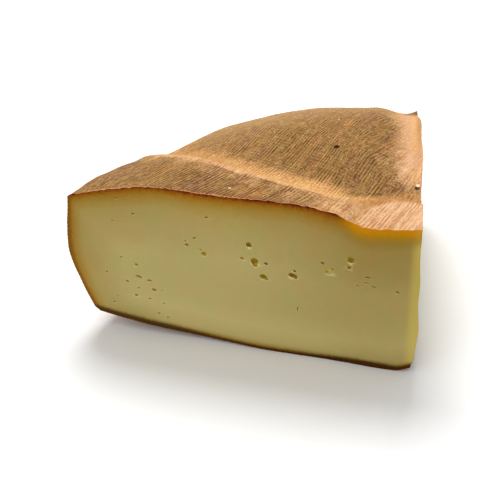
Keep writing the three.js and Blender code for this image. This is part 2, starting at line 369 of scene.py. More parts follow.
def cut_waves(x, y, z):
    """How far the knife's slow waves and the bulge of the edge move a point near the cuts."""
    def wave(place, size, distance):
        height = size["height"] * np.sin(2 * math.pi * place / size["length"] + size["shift"])
        return height * bell(distance, size["reach"])

    from_point = np.hypot(x, y)
    beyond_side = x * SIDE_DIRECTION[1] - y * SIDE_DIRECTION[0]
    front = wave(x + z, FRONT_WAVE, np.abs(y))
    side = wave(y - z, SIDE_WAVE, beyond_side) + wave(z, POINT_WAVE, from_point)
    bulge = POINT_BULGE["out"] * bell(z - POINT_BULGE["level"], POINT_BULGE["spread"])
    low = np.clip(2.0 - z / HEEL_INSET["height"], 0.0, 1.0) ** 2
    heel = HEEL_INSET["depth"] * low * bell(from_point, HEEL_INSET["reach"])
    towards_horn = smooth((from_point - HORN_INSET["start"]) / HORN_INSET["length"])
    drawn_in = HORN_INSET["depth"] * towards_horn
    return side + bulge * bell(from_point, POINT_BULGE["reach"]) - heel - drawn_in, front


def soft_noise(points, size, seed):
    """Smooth noise from -1 to 1 with bumps of about the given size, at (n, 3) points."""
    shift = Vector((seed * 7.1, seed * 3.7, seed * 1.9))
    return np.array([noise.noise(Vector(p) / size + shift) for p in points.tolist()])


# Ribs of the rind.

def rib_places(x, y):
    """Distance across and along the ribs of the top, for a plan point."""
    turn = math.radians(RIB_TURN)
    return x * math.sin(turn) - y * math.cos(turn), x * math.cos(turn) + y * math.sin(turn)


def top_rib_phase(x, y):
    """Distance across the ribs, bent as the cloth was pulled askew in pressing."""
    across, along = rib_places(x, y)
    share = RIB_BEND["slope"] * smooth((x - RIB_BEND["start"]) / RIB_BEND["length"])
    bend = share * RIB_BEND["reach"] * np.tanh((y - RIB_BEND["behind"]) / RIB_BEND["reach"])
    splay = RIB_SPLAY["rate"] * smooth((x - RIB_SPLAY["start"]) / RIB_SPLAY["length"])
    bend += splay * np.maximum(y - RIB_SPLAY["behind"], 0.0) ** 2
    sway = RIB_SWAY["height"] * np.sin(along / RIB_SWAY["along"] + across / RIB_SWAY["across"])
    flat = np.stack([x, y, np.zeros_like(x)], axis=-1)
    wander = RIB_WANDER["height"] * soft_noise(flat, RIB_WANDER["size"], 11)
    strand = (across / RIB_KINKS["across"], along / RIB_KINKS["along"], np.zeros_like(x))
    kinks = RIB_KINKS["height"] * soft_noise(np.stack(strand, axis=-1), 1.0, 12)
    return across + bend + sway + wander + kinks


def rib_profile(phase, pitch):
    """Height of a rib from 0 to 1: a rounded ridge with a narrower furrow."""
    wave = 0.5 + 0.5 * np.cos(2 * math.pi * phase / pitch)
    return wave ** 0.75


def rib_strength(x, y):
    """Share to which the ribs stand out: strong in bundles, worn away between them."""
    across, along = rib_places(x, y)
    strand = np.stack([across, along * RIB_BUNDLES["stretch"], np.zeros_like(x)], axis=-1)
    flat = np.stack([x, y, np.zeros_like(x)], axis=-1)
    bundles = RIB_BUNDLES["share"] * soft_noise(strand, RIB_BUNDLES["size"], 9)
    patches = RIB_PATCHES["share"] * soft_noise(flat, RIB_PATCHES["size"], 10)
    at_shoulder = smooth((wheel_radius_at(x, y) - 132.0) / 24.0)
    beside_print = smooth((across_cross_groove(x, y) + 36.0) / 16.0) * smooth((y - 30.0) / 15.0)
    fading = (1.0 - 0.6 * at_shoulder) * (1.0 - 0.45 * beside_print)
    return np.clip(0.3 + bundles + patches, 0.0, 1.0) * fading


def print_edge(behind):
    """Distance to the right of the cross groove's floor at which its print begins."""
    front, back = CROSS_PRINT_FRONT_EDGE, CROSS_PRINT_BACK_EDGE
    past_corner = np.maximum(behind - front["corner"], 0.0)
    front_edge = front["at_floor"] - front["slant"] * behind - front["corner_slant"] * past_corner
    back_edge = back["right"] - back["slant"] * (behind - back["behind"])
    return np.where(behind < 2.0, np.clip(front_edge, -30.0, back["right"]), back_edge)


def valley_shade_share(behind, right):
    """Share of painted shade in the long groove's valley where it crosses the print: the print is
    held back there so that the rind's brown stands for the shade.
    """
    off_floor = behind - PRINT_VALLEY_SHADE["behind"]
    spread = np.where(off_floor < 0.0, PRINT_VALLEY_SHADE["front_spread"], PRINT_VALLEY_SHADE["back_spread"])
    share = bell(off_floor, spread) * smooth((right + 24.0) / 12.0)
    return share * (PRINT_VALLEY_SHADE["share"] - PRINT_VALLEY_SHADE["fading"] * smooth(right / 8.0))


def rack_marks_and_light(x, y):
    """Share of the pale, smooth print that the rack's slats left on the top, with faint shares
    that partly paint in light on the slopes beside it.
    """
    behind = across_long_groove(x, y)
    right = across_cross_groove(x, y)
    from_crest = behind + long_groove_front_width(x, y)
    crest, narrow = LONG_PRINT_OVER_CREST, LONG_PRINT_NARROWING
    over_crest = crest["least"] + crest["more"] * smooth((crest["start"] - x) / crest["length"])
    narrowing = narrow["width"] * smooth((x - narrow["start"]) / narrow["length"])
    far_fade = smooth((behind - 0.5 + narrowing) / (LONG_PRINT_WIDTH - 0.4 * narrowing))
    long_mark = smooth((from_crest + over_crest) / 2.2) * (1.0 - far_fade)
    long_mark *= (1.0 - 0.35 * near_rim(x, y)) * (1.0 - smooth((right + 16.0) / 10.0))
    beyond_valley = smooth((y - 38.0) / 15.0)
    softness = 10.0 + 7.0 * beyond_valley
    cross_mark = smooth((right - print_edge(behind) + 1.2 * beyond_valley) / softness + 0.5)
    # Partly painted light: the faint shares lighten the rind in front of the long groove's crest
    # and beside the cross print, both as faint print and as light falling on these slopes.
    faint_print_and_light = 0.62 * smooth((right + 44.0) / 30.0) * smooth((-behind - 14.0) / 3.0)
    faint_print_and_light = np.maximum(faint_print_and_light, 0.38 * bell(from_crest + 4.5, 5.0))
    faint_print_and_light = np.maximum(faint_print_and_light, 0.32 * smooth((right + 13.0) / 8.0) * beyond_valley)
    clear_mark = np.maximum(long_mark, cross_mark) * (1.0 - valley_shade_share(behind, right))
    return np.maximum(clear_mark, faint_print_and_light)


def crest_highlight_share(x, y):
    """Share of a painted highlight along the long groove's crest."""
    behind = across_long_groove(x, y)
    from_crest = behind + long_groove_front_width(x, y)
    bright = bell(from_crest + 1.2 * smooth((-60.0 - x) / 30.0), 1.6)
    beside_platform = 1.0 - smooth((across_cross_groove(x, y) + 14.0) / 10.0)
    return bright * (1.0 - 0.7 * near_rim(x, y)) * beside_platform


def edge_relief(x, y):
    """Slow rises and dips of the top along the front cut and round the rim."""
    rise, dip = FRONT_EDGE_RISE, FRONT_EDGE_DIP
    risen = rise["height"] * smooth((rise["start"] - x) / rise["length"]) * bell(y, rise["reach"])
    sunk = dip["depth"] * bell(x - dip["x"], dip["spread"]) * bell(y, dip["reach"])
    share = np.degrees(np.arctan2(y, -x)) / QUARTER_ANGLE
    rise, dip = RIM_EDGE_RISE, RIM_EDGE_DIP
    swollen = rise["height"] * bell(share - rise["share"], rise["spread"])
    dented = dip["depth"] * bell(share - dip["share"], dip["spread"])
    at_rim = smooth((wheel_radius_at(x, y) - RIM_EDGE_ZONE["radius"]) / RIM_EDGE_ZONE["width"])
    return risen - sunk + (swollen - dented) * at_rim


def top_relief(x, y):
    """Ribs, dents and the rounded corner that lie over the main form of the top."""
    flat = np.stack([x, y, np.zeros_like(x)], axis=-1)
    strength = rib_strength(x, y) * (1.0 - 0.7 * rack_marks_and_light(x, y))
    ribs = RIB_HEIGHT * strength * (rib_profile(top_rib_phase(x, y), RIB_PITCH) - 0.5)
    dents = 0.3 * soft_noise(flat, 17.0, 2) + 0.15 * soft_noise(flat, 5.0, 3)
    crest = across_long_groove(x, y) + long_groove_front_width(x, y) - CREST_LIP_SPREAD / 3.0
    lip = CREST_LIP_HEIGHT * bell(crest, CREST_LIP_SPREAD) * (1.0 - near_rim(x, y))
    in_corner = wheel_radius_at(x, y) - (WHEEL_RADIUS - SHOULDER_INSET - CORNER_ROUND_WIDTH)
    corner = CORNER_ROUND_DROP * np.clip(in_corner / CORNER_ROUND_WIDTH, 0.0, 1.5) ** 2
    frayed = 0.6 * soft_noise(flat, 1.7, 13) * bell(y, 2.2)
    edge = edge_relief(x, y)
    swell_x, swell_y = HORN_SWELL["place"]
    swell = HORN_SWELL["height"] * bell(np.hypot(x - swell_x, y - swell_y), HORN_SWELL["spread"])
    return ribs + dents + lip + frayed + edge + swell - corner


# Closed blocks, cut to each other's shape.

def grid_faces(place, steps):
    """The six faces of a bent block; place takes three shares from 0 to 1."""
    shares = [np.linspace(0.0, 1.0, n + 1) for n in steps]
    for fixed in range(3):
        first, second = (fixed + 1) % 3, (fixed + 2) % 3
        for end in (0.0, 1.0):
            a, b = np.meshgrid(shares[first], shares[second], indexing="ij")
            if end == 0.0:
                a, b = a.T, b.T
            given = [None, None, None]
            given[first], given[second] = a, b
            given[fixed] = np.full_like(a, end)
            yield np.stack(place(*given), axis=-1)


def block_mesh(place, steps):
    """Points and faces of a closed bent block, in millimetres from the point."""
    points, quads, count = [], [], 0
    for face in grid_faces(place, steps):
        rows, columns, _ = face.shape
        index = np.arange(rows * columns).reshape(rows, columns) + count
        corners = (index[:-1, :-1], index[1:, :-1], index[1:, 1:], index[:-1, 1:])
        quads.append(np.stack(corners, axis=-1).reshape(-1, 4))
        points.append(face.reshape(-1, 3))
        count += rows * columns
    points, quads = np.concatenate(points), np.concatenate(quads)
    _, first, inverse = np.unique(
        np.round(points, 4), axis=0, return_index=True, return_inverse=True
    )
    return points[first], inverse.ravel()[quads]


def solid(name, points, faces, finish):
    """An object of one finish."""
    mesh = bpy.data.meshes.new(name)
    mesh.from_pydata(points.tolist(), [], [list(face) for face in faces])
    mesh.materials.append(finish)
    thing = bpy.data.objects.new(name, mesh)
    bpy.context.scene.collection.objects.link(thing)
    return thing


def cut(piece, other, operation):
    """Applies a boolean of two objects, keeps the finish of each face, and removes the second."""
    step = piece.modifiers.new("cut", "BOOLEAN")
    step.operation = operation
    step.solver = "MANIFOLD"
    step.material_mode = "TRANSFER"
    step.object = other
    graph = bpy.context.evaluated_depsgraph_get()
    made = bpy.data.meshes.new_from_object(piece.evaluated_get(graph))
    piece.modifiers.clear()
    piece.data = made
    bpy.data.objects.remove(other)


TOP_BLOCK_ACROSS = (-142.0, 3.0)
TOP_BLOCK_ALONG = (-55.0, 140.0)
TOP_BLOCK_STEPS = (560, 108, 1)
BLOCK_BOTTOM = -12.0


def top_block_place(across_share, along_share, level):
    """The ribbed top, laid out along its ribs, on a plain body that reaches below the base."""
    across = blend(*TOP_BLOCK_ACROSS, across_share)
    along = blend(*TOP_BLOCK_ALONG, along_share)
    turn = math.radians(RIB_TURN)
    x = across * math.sin(turn) + along * math.cos(turn)
    y = along * math.sin(turn) - across * math.cos(turn)
    flat_x, flat_y = x.ravel(), y.ravel()
    top = (top_height(flat_x, flat_y) + top_relief(flat_x, flat_y)).reshape(x.shape)
    return x, y, np.where(level > 0.5, top, BLOCK_BOTTOM)


DRUM_ANGLES = (177.0, 97.0)
DRUM_INNER_RADIUS = 12.0
DRUM_TOP_LEVEL = 1.3
DRUM_STEPS = (150, 56, 190)


def rim_rib_phase(turn, z):
    """Distance up the ribs that run round the rim wall, at an angle about the wheel's centre."""
    return z + 4.0 * turn + 0.8 * np.sin(9.0 * turn)


def rim_relief(turn, z, points):
    """Cloth ribs round the rim wall, with slow dents."""
    flat = points.reshape(-1, 3)
    dents = 0.5 * soft_noise(flat, 19.0, 4) + 0.18 * soft_noise(flat, 6.0, 5)
    fade = 0.7 + 0.3 * soft_noise(flat, 9.0, 6).reshape(z.shape)
    ribs = RIM_RIB_HEIGHT * fade * (rib_profile(rim_rib_phase(turn, z), RIM_RIB_PITCH) - 0.5)
    return ribs + dents.reshape(z.shape)


def drum_place(angle_share, out_share, level_share):
    """A stretch of the wheel's rim and base, wider than the quarter and higher than its top."""
    turn = np.radians(blend(*DRUM_ANGLES, angle_share))
    level = level_share * DRUM_TOP_LEVEL
    wall = rim_radius(level)
    rim_x = WHEEL_CENTRE[0] + wall * np.cos(turn)
    rim_y = WHEEL_CENTRE[1] + wall * np.sin(turn)
    rim_z = level * top_height(rim_x, rim_y)
    wall = wall + rim_relief(turn, rim_z, np.stack([rim_x, rim_y, rim_z], axis=-1))
    radius = blend(DRUM_INNER_RADIUS, wall, out_share)
    x = WHEEL_CENTRE[0] + radius * np.cos(turn)
    y = WHEEL_CENTRE[1] + radius * np.sin(turn)
    base = base_height(x, y)
    return x, y, base + level * (top_height(x, y) - base)


WEDGE_REACH = (0.4, 178.0)
WEDGE_HEIGHTS = (-9.0, 84.0)
WEDGE_STEPS = (12, 140, 78)


def wedge_place(angle_share, out_share, height_share):
    """The space between the two cuts, with the knife's waves and drag in its walls."""
    direction = plan_direction(angle_share * QUARTER_ANGLE)
    reach = blend(*WEDGE_REACH, out_share)
    x = direction[0] * reach
    y = direction[1] * reach
    z = blend(*WEDGE_HEIGHTS, height_share)
    move_x, move_y = cut_waves(x, y, z)
    grain = np.stack([x, y, z], axis=-1).reshape(-1, 3)
    drag = 0.08 * soft_noise(grain, 4.0, 7).reshape(x.shape)
    torn = 0.3 * bell(top_height(x, y) - z, 2.0) * soft_noise(grain, 1.7, 8).reshape(x.shape)
    at_front = 1.0 - smooth(angle_share * 4.0)
    return x + move_x + (drag + torn) * (1.0 - at_front), y + move_y + (drag + torn) * at_front, z


# Gas holes and pits.

def pocket(place, size, turn, lean, rings, seed):
    """Points and faces of one uneven rounded pocket; size is width, depth and height."""
    sides = 2 * rings
    polar = np.linspace(0.0, math.pi, rings + 1)[1:-1]
    round_turns = np.arange(sides) * (2 * math.pi / sides)
    ring = [
        (math.sin(p) * math.cos(r), math.sin(p) * math.sin(r), math.cos(p))
        for p in polar
        for r in round_turns
    ]
    points = np.array([(0.0, 0.0, 1.0)] + ring + [(0.0, 0.0, -1.0)])
    points *= (1.0 + 0.22 * soft_noise(points, 0.8, seed))[:, None]
    points *= np.array(size) / 2.0
    spin = Matrix.Rotation(turn, 3, "Z") @ Matrix.Rotation(math.radians(lean), 3, "Y")
    points = points @ np.array(spin).T + np.array(place)
    last = len(points) - 1
    faces = [(0, 1 + k, 1 + (k + 1) % sides) for k in range(sides)]
    for row in range(rings - 2):
        low = 1 + row * sides
        for k in range(sides):
            following = (k + 1) % sides
            faces.append((low + k, low + sides + k, low + sides + following, low + following))
    low = 1 + (rings - 2) * sides
    faces += [(last, low + (k + 1) % sides, low + k) for k in range(sides)]
    return points, faces


def pockets_solid(pockets, finish):
    points, faces, count = [], [], 0
    for pocket_points, pocket_faces in pockets:
        faces += [tuple(i + count for i in face) for face in pocket_faces]
        points.append(pocket_points)
        count += len(pocket_points)
    return solid("pockets", np.concatenate(points), faces, finish)


SIDE_TURN = math.radians(180.0 - QUARTER_ANGLE)


def front_holes():
    """Places along the front cut and up, widths, heights, depths and leans of its holes."""
    for x, z, width, height, depth, lean in FRONT_HOLES:
        yield (x, 0.0, z), (width, 2 * depth * width, height), 0.0, lean


def side_holes():
    """The same for the side cut, whose holes are scattered over its middle."""
    dice = random.Random(SIDE_HOLES["seed"])
    for i in range(SIDE_HOLES["count"]):
        share = i + dice.random()
        reach = SIDE_HOLES["nearest"] + SIDE_HOLES["stretch"] * share / SIDE_HOLES["count"]
        width = 0.9 + 2.6 * dice.random() ** 2
        z = dice.uniform(SIDE_HOLES["low"], SIDE_HOLES["high"])
        place = (SIDE_DIRECTION[0] * reach, SIDE_DIRECTION[1] * reach, z)
        size = (width, 1.5 * width, width * dice.uniform(0.65, 1.0))
        yield place, size, SIDE_TURN, dice.uniform(-25, 25)


def cut_holes():
    return [*front_holes(), *side_holes()]


def hole_pockets():
    """A pocket for each hole, its middle a little behind the cut, in groups that don't touch."""
    groups = []
    for i, (place, size, turn, lean) in enumerate(cut_holes()):
        inward = 0.125 * size[1]
        middle = (place[0] - math.sin(turn) * inward, place[1] + math.cos(turn) * inward, place[2])
        made = pocket(middle, size, turn, lean, 10 if size[0] > 1.6 else 7, 20 + i)
        for group in groups:
            if all(math.dist(place, other) > size[0] + width for other, width, _ in group):
                group.append((place, size[0], made))
                break
        else:
            groups.append([(place, size[0], made)])
    return [[made for _, _, made in group] for group in groups]


def pit_pockets():
    for i, (x, y, width, depth) in enumerate(PITS):
        z = float(top_height(np.array(x), np.array(y)))
        yield pocket((x, y, z), (width, width, 2 * depth), 0.6, 0.0, 8, 90 + i)


# Shader maths.

class Value:
    """A number or colour that varies over a surface; sums on it add Math nodes."""

    def __init__(self, finish, socket):
        self.finish = finish
        self.socket = socket

    def calculate(self, operation, *terms):
        settings = {"operation": operation}
        return self.finish.node("ShaderNodeMath", settings, dict(enumerate(terms)))

    def __add__(self, other):
        return self.calculate("ADD", self, other)

    def __radd__(self, other):
        return self.calculate("ADD", other, self)

    def __sub__(self, other):
        return self.calculate("SUBTRACT", self, other)

    def __rsub__(self, other):
        return self.calculate("SUBTRACT", other, self)

    def __mul__(self, other):
        return self.calculate("MULTIPLY", self, other)

    def __rmul__(self, other):
        return self.calculate("MULTIPLY", other, self)

    def __truediv__(self, other):
        return self.calculate("DIVIDE", self, other)

    def cosine(self):
        return self.calculate("COSINE", self)

    def ease(self, start, end):
        """Goes smoothly from 0 to 1 while the value goes from start to end."""
        settings = {"interpolation_type": "SMOOTHSTEP"}
        return self.finish.node("ShaderNodeMapRange", settings, {0: self, 1: start, 2: end})


class Finish:
    """A material in the making."""

    def __init__(self, name):
        self.material = bpy.data.materials.new(name)
        self.material.use_nodes = True
        self.tree = self.material.node_tree
        self.tree.nodes.clear()

    def node(self, kind, settings=None, inputs=None, output=0):
        made = self.tree.nodes.new(kind)
        for name, setting in (settings or {}).items():
            if name == "stops":
                self.set_stops(made.color_ramp, setting)
            else:
                setattr(made, name, setting)
        for name, value in (inputs or {}).items():
            if isinstance(value, Value):
                self.tree.links.new(value.socket, made.inputs[name])
            else:
                made.inputs[name].default_value = value
        return Value(self, made.outputs[output])

    def set_stops(self, ramp, stops):
        while len(ramp.elements) < len(stops):
            ramp.elements.new(1.0)
        for element, (position, colour) in zip(ramp.elements, stops):
            element.position = position
            element.color = colour

    def ramp(self, value, length, stops):
        """Colours at places along a length, as a value goes along it."""
        settings = {"stops": [(place / length, tone(*colour)) for place, colour in stops]}
        return self.node("ShaderNodeValToRGB", settings, {0: value / length})

    def mix(self, share, low, high, blend_type="MIX"):
        """A colour between two, by a share from 0 to 1."""
        settings = {"data_type": "RGBA", "blend_type": blend_type}
        return self.node("ShaderNodeMix", settings, {0: share, 6: low, 7: high}, output=2)

    def attribute(self, name):
        return self.node("ShaderNodeAttribute", {"attribute_name": name}, output="Fac")

    def place(self):
        """The place on the cheese in millimetres."""
        spot = self.node("ShaderNodeTexCoord", output="Object")
        settings = {"operation": "SCALE"}
        return self.node("ShaderNodeVectorMath", settings, {0: spot, "Scale": 1.0 / MM})

    def stretched(self, vector, stretch):
        settings = {"operation": "MULTIPLY"}
        return self.node("ShaderNodeVectorMath", settings, {0: vector, 1: stretch})

    def noise(self, place, size, detail=2.0, roughness=0.5):
        """Cloudy noise from 0 to 1 with bumps of about the given size in millimetres."""
        inputs = {
            "Vector": place,
            "Scale": 1.0 / size,
            "Detail": detail,
            "Roughness": roughness,
        }
        return self.node("ShaderNodeTexNoise", None, inputs)

    def cells(self, place, size):
        """Distance to the nearest of scattered spots, in shares of their spacing."""
        inputs = {"Vector": place, "Scale": 1.0 / size}
        return self.node("ShaderNodeTexVoronoi", None, inputs, output="Distance")

    def close(self, bumps, inputs):
        """Ends the material; bumps are pairs of a height value and its depth in millimetres."""
        normal = None
        for height, depth in bumps:
            bump_inputs = {"Height": height, "Distance": depth * MM}
            if normal is not None:
                bump_inputs["Normal"] = normal
            normal = self.node("ShaderNodeBump", None, bump_inputs)
        shader = self.node("ShaderNodeBsdfPrincipled", None, {**inputs, "Normal": normal})
        surface = self.tree.nodes.new("ShaderNodeOutputMaterial")
        self.tree.links.new(shader.socket, surface.inputs["Surface"])
        return self.material


def tone(red, green, blue):
    """A colour given in the 0 to 255 steps of a screen."""
    def linear(step):
        share = step / 255.0
        return share / 12.92 if share <= 0.04045 else ((share + 0.055) / 1.055) ** 2.4

    return linear(red), linear(green), linear(blue), 1.0


# Finishes of the rind and the paste.

# Colours of the rind.
RIND_BROWNS = (
    (0.37, (125, 86, 60)),
    (0.44, (149, 104, 64)),
    (0.5, (140, 107, 46)),
    (0.56, (159, 110, 62)),
    (0.63, (184, 124, 70)),
)
FURROW_TINT = tone(174, 152, 118)
RIDGE_BROWN = tone(215, 170, 106)
# Painted sheen towards the far rim.
FAR_RIM_SHEEN_BROWN = tone(214, 172, 120)
TAN_FURROWS = (tone(168, 114, 62), tone(196, 136, 78))
TAN_RIDGES = (tone(208, 158, 98), tone(232, 184, 120))
TANNED_PRINT = (tone(158, 102, 50), tone(196, 142, 84))
PINK_PRINT = (tone(184, 124, 76), tone(228, 186, 144))
# Painted highlight on the long groove's crest.
CREST_HIGHLIGHT_TAN = tone(228, 180, 128)
GLINT_GOLD = tone(255, 222, 150)
SIDE_EDGE_BROWN = tone(150, 106, 62)
FRONT_EDGE_BROWN = tone(120, 76, 42)
HORN_BROWN = tone(110, 76, 44)
SPECK_GOLD = tone(250, 216, 150)
PORE_BROWN = tone(76, 46, 20)
# The rind's cut edge, partly its own tan and partly a painted highlight on its lip.
CUT_RIND_TAN_AND_HIGHLIGHT = tone(226, 158, 108)
PIT_BROWN = tone(58, 30, 10)
FLECK_AND_GLINT_WHITE = tone(246, 236, 214)

# Colours of the paste, by the depth below the rind in millimetres.
AMBER_TO_YELLOW = (
    (0.1, (86, 27, 0)),
    (0.6, (120, 54, 0)),
    (1.5, (150, 89, 3)),
    (3.0, (162, 119, 32)),
    (5.4, (168, 138, 64)),
    (9.0, (175, 153, 88)),
    (17.0, (181, 163, 101)),
    (29.0, (192, 176, 114)),
)
BRIGHT_AMBER = (
    (0.3, (222, 153, 0)),
    (1.9, (219, 151, 0)),
    (3.6, (192, 144, 26)),
    (6.0, (172, 143, 66)),
)
BLOTCH_TINTS = ((0.38, (255, 250, 249)), (0.5, (253, 253, 252)), (0.62, (248, 253, 245)))
# Painted shade towards the point and upwards on the cuts.
POINT_SHADE_TINT = tone(220, 210, 184)
SHADED_TINT = tone(236, 232, 222)
# Painted shade halfway up the cuts.
MID_HEIGHT_SHADE_TINT = tone(246, 245, 245)
RIM_LINE_AMBER = tone(124, 84, 12)
FRESH_YELLOW = tone(214, 192, 88)
# Painted light from below, low on the cuts.
LIGHT_FROM_BELOW_YELLOW = tone(222, 206, 138)
FOOT_BROWNS = (tone(54, 20, 0), tone(74, 46, 8))
HOLE_YELLOW = tone(200, 172, 40)
# Pale hole lips, partly their own colour and partly a painted highlight.
HOLE_LIP_CREAM_AND_HIGHLIGHT = tone(236, 216, 160)


def from_top_place(finish, place, x, y):
    """Distance from a plan place on the top."""
    z = float(top_height(np.array(x), np.array(y)))
    settings = {"operation": "DISTANCE"}
    inputs = {0: place, 1: (x - PLAN_MIDDLE[0], y - PLAN_MIDDLE[1], z)}
    return finish.node("ShaderNodeVectorMath", settings, inputs, output="Value")


def flecked(finish, place, colour):
    """Lays the dark of the pits and the white flecks on a colour; the fleck beside the second pit
    is a painted highlight in it.
    """
    for x, y, width, _ in PITS:
        distance = from_top_place(finish, place, x, y)
        dark = 1.0 - distance.ease(0.4 * width, 0.62 * width)
        colour = finish.mix(dark * 0.8, colour, PIT_BROWN)
    for x, y, reach in FLECKS_AND_GLINT:
        distance = from_top_place(finish, place, x, y)
        fleck = 1.0 - distance.ease(0.5 * reach, reach)
        colour = finish.mix(fleck * 0.85, colour, FLECK_AND_GLINT_WHITE)
    return colour


def darkened_edges(finish, colour, by_front, by_side, mottle):
    """Darkens the rind along the two cuts and on the horn."""
    from_cut = finish.attribute("from_cut")
    side_edge = (1.0 - from_cut.ease(0.8, 3.6)) * by_side.ease(50.0, 100.0)
    colour = finish.mix(side_edge * 0.55, colour, SIDE_EDGE_BROWN)
    front_stretch = by_front.ease(-104.0, -84.0) * (1.0 - by_front.ease(-48.0, -32.0))
    front_edge = (1.0 - from_cut.ease(0.4, 5.0)) * front_stretch
    colour = finish.mix(front_edge * 0.5, colour, FRONT_EDGE_BROWN)
    tip = 1.0 - (finish.attribute("from_horn") + mottle * 4.0 - 2.0).ease(6.5, 13.0)
    return finish.mix(tip * 0.85, colour, HORN_BROWN)


def rind_finish(name, pitch, with_prints):
    """Brown smoked rind, ribbed by the cloth, with the rack's pale prints on the top."""
    finish = Finish(name)
    place = finish.place()
    across = finish.attribute("across_ribs")
    along = finish.attribute("along_ribs")
    strength = finish.attribute("rib_strength")
    strand = finish.node("ShaderNodeCombineXYZ", None, {0: across, 1: along * 0.12})
    clouds = finish.noise(place, 24.0, 3.0, 0.55)
    patches = finish.noise(place, 6.0, 3.0, 0.6)
    hues = finish.noise(finish.stretched(strand, (1.0, 0.6, 1.0)), 3.5, 3.0, 0.6)
    strands = finish.noise(strand, 0.6, 3.0, 0.65)
    creases = finish.noise(finish.stretched(strand, (1.0, 0.5, 1.0)), 2.6, 2.0, 0.5)
    grain = finish.noise(place, 0.75, 3.0, 0.7)
    mottle = finish.noise(place, 2.4, 3.0, 0.65)
    # Partly painted light: the crest term lightens each rib's crest as a painted highlight and
    # darkens its furrow as painted shade; the strands, creases, threads, grain and mottle are the
    # rind's own streaks.
    crest = (across * (2.0 * math.pi / pitch) + strands * 1.6 - 0.8).cosine() * 0.5 + 0.5
    threads = (along * (2.0 * math.pi / 1.7) + strands * 2.0).cosine() * 0.5 + 0.5
    lines = (crest - 0.5) * strength * 0.85 + (strands - 0.5) * 1.5 + (creases - 0.5) * 0.5
    lines += (threads - 0.5) * 0.12
    ribbed, speckled, streaked = (1.0, 1.0, 0.55) if with_prints else (0.45, 0.7, 0.25)
    weave = lines * ribbed + ((grain - 0.5) * 1.1 + (mottle - 0.5) * 0.8) * speckled
    shade = (weave + 0.5).ease(0.0, 1.0)
    brown = finish.ramp(clouds * (1.0 - streaked) + hues * streaked, 1.0, RIND_BROWNS)
    dark_brown = finish.mix(1.0, brown, FURROW_TINT, "MULTIPLY")
    light_brown = finish.mix(0.38, brown, RIDGE_BROWN)
    colour = finish.mix(shade, dark_brown, light_brown)
    roughness = 0.72 - shade * 0.08
    if with_prints:
        print_and_light_share = finish.attribute("rack_print")
        pinkness = finish.attribute("pink_print")
        by_front = finish.node("ShaderNodeSeparateXYZ", None, {0: place}, output="X")
        by_front += PLAN_MIDDLE[0]
        by_side = finish.node("ShaderNodeSeparateXYZ", None, {0: place}, output="Y")
        by_side += PLAN_MIDDLE[1]
        calm = by_side.ease(40.0, 75.0) * 0.55
        # Painted sheen: the rind is lightened towards the far rim, where the light grazes it.
        far_rim_sheen = finish.attribute("from_middle").ease(116.0, 152.0) * calm * 0.5
        colour = finish.mix(far_rim_sheen, colour, FAR_RIM_SHEEN_BROWN)
        streaks = (weave * (0.9 - calm) + 0.5).ease(0.1, 0.95)
        by_right = by_front.ease(-115.0, -35.0)
        tan_dark = finish.mix(by_right, *TAN_FURROWS)
        tan_light = finish.mix(by_right, *TAN_RIDGES)
        tan = finish.mix(streaks, tan_dark, tan_light)
        glints = (1.0 - finish.cells(place, 0.9).ease(0.15, 0.42)) * grain.ease(0.45, 0.6)
        tan = finish.mix(glints * 0.6, tan, GLINT_GOLD)
        # Painted highlight: the long groove's crest is lightened to tan.
        rubbed = finish.attribute("rubbed")
        tan = finish.mix(rubbed * 0.45, tan, CREST_HIGHLIGHT_TAN)
        broad = (creases - 0.5) * 1.1 + (hues - 0.5) * 1.1
        pink_streaks = (weave * (0.9 - calm) + broad * (1.0 - calm * 1.6) + 0.5).ease(0.0, 1.0)
        pink = finish.mix(pink_streaks, *PINK_PRINT)
        tanned = finish.attribute("tanned_print")
        pink = finish.mix(tanned, pink, finish.mix(streaks, *TANNED_PRINT))
        # The print share includes its faint shares, which are partly painted light.
        print_and_light_mix = (print_and_light_share + (patches - 0.5) * 0.8 + (grain - 0.5) * 0.7).ease(0.12, 0.92)
        colour = finish.mix(print_and_light_mix, colour, finish.mix(pinkness, tan, pink))
        colour = flecked(finish, place, colour)
        colour = darkened_edges(finish, colour, by_front, by_side, mottle)
    specks = 1.0 - finish.cells(place, 1.5).ease(0.08, 0.2)
    colour = finish.mix(specks * patches.ease(0.4, 0.56) * 0.7, colour, SPECK_GOLD)
    pores = 1.0 - finish.cells(place, 3.4).ease(0.05, 0.12)
    colour = finish.mix(pores * 0.6, colour, PORE_BROWN)
    # Partly painted highlight: the rind along the cuts is lightened to tan, both for its cut edge
    # and for light on its rounded lip.
    lip = 1.0 - (finish.attribute("from_cut") + strands * 4.0 - 1.8).ease(0.3, 1.1)
    colour = finish.mix(lip * 0.6, colour, CUT_RIND_TAN_AND_HIGHLIGHT)
    return finish.close(
        ((weave, 0.16), (grain, 0.08)),
        {
            "Base Color": colour,
            "Roughness": roughness,
            "Specular IOR Level": 0.06,
            "Subsurface Weight": 0.04,
            "Subsurface Radius": (2.0 * MM, 1.0 * MM, 0.4 * MM),
            "Subsurface Scale": 1.0,
        },
    )


